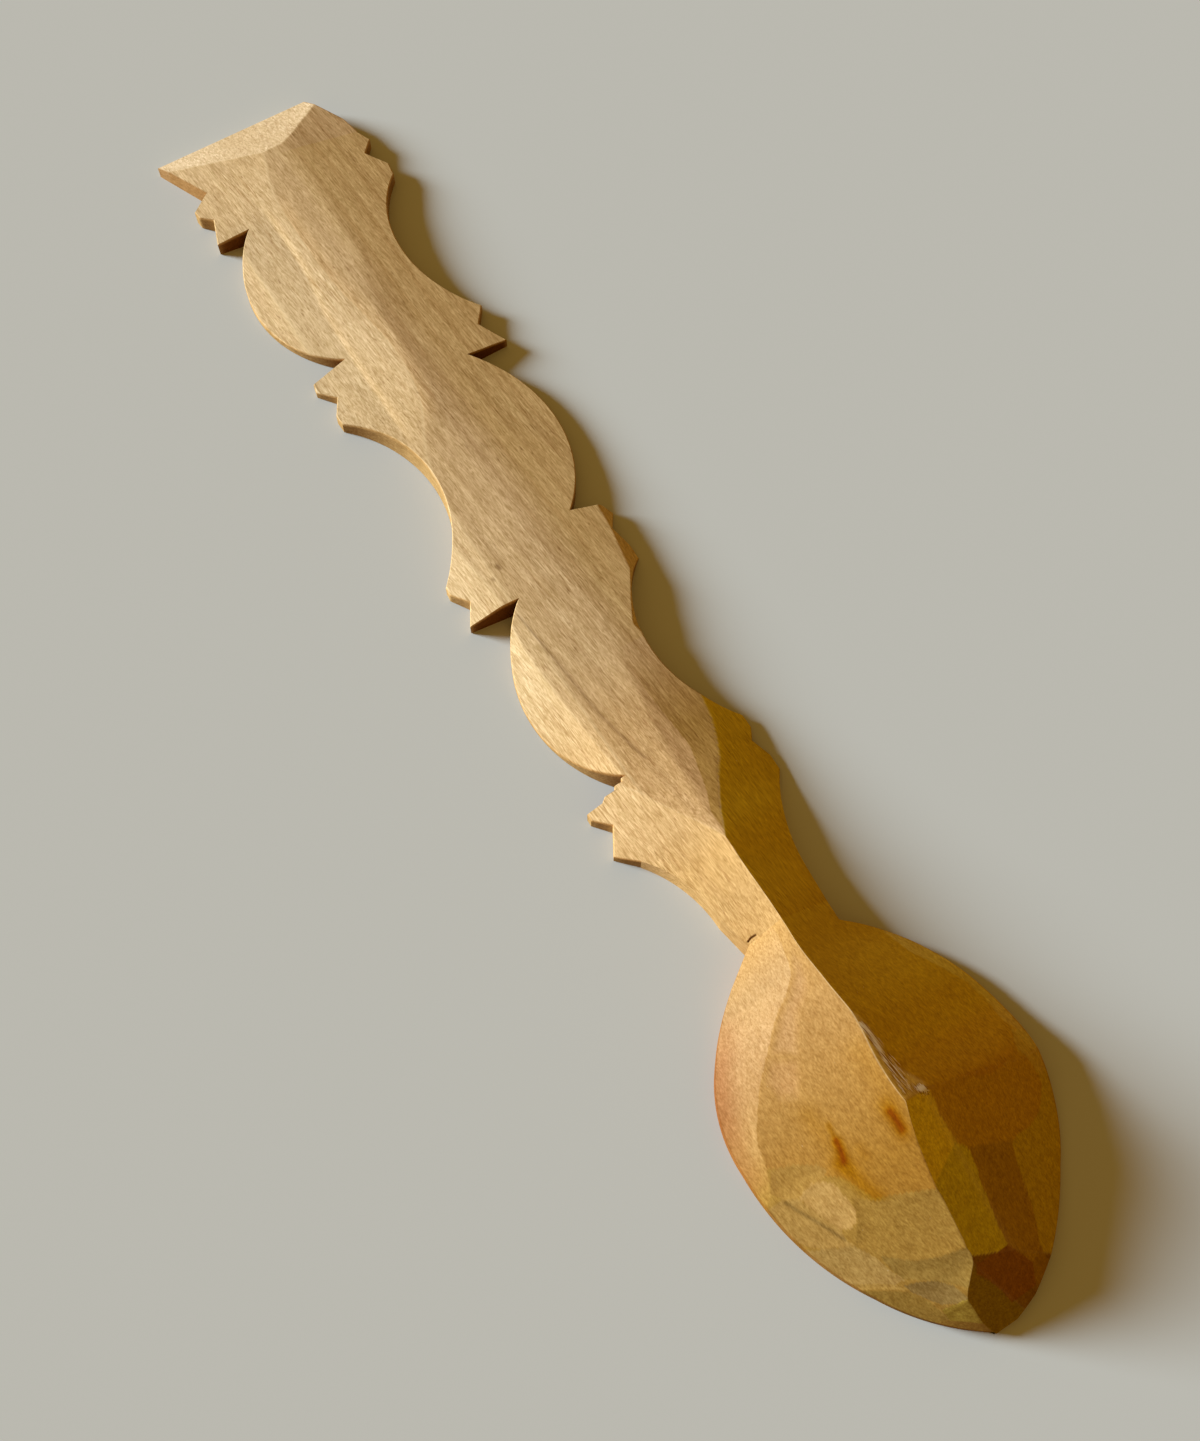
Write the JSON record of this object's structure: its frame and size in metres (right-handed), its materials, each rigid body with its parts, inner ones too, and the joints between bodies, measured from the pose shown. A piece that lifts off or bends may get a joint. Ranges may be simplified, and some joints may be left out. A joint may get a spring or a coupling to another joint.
{
  "type": "love spoon",
  "caption": "Hand-carved wooden love spoon: hollow egg-shaped bowl with a keeled, faceted back, a ridged neck and a long flat handle edged with round lobes and toothed leaves.",
  "frame": {"origin": "on the surface it lies on, under the middle of the spoon's bounding box", "axes": "+Y along the handle to the crest, +Z out of the carved back, the spoon lying face down"},
  "size_m": [0.049, 0.2622, 0.0168],
  "materials": {
    "wood": "bare pale wood, cut with a knife and left unvarnished"
  },
  "bodies": {
    "root": {"bowl": "wood", "neck": "wood", "stem": "wood", "lower_left_leaf": "wood", "lower_left_lobe": "wood", "left_sprig": "wood", "upper_left_lobe": "wood", "upper_left_leaf": "wood", "lower_right_sprig": "wood", "right_lobe": "wood", "upper_right_sprig": "wood", "crest": "wood"}
  },
  "joints": []
}
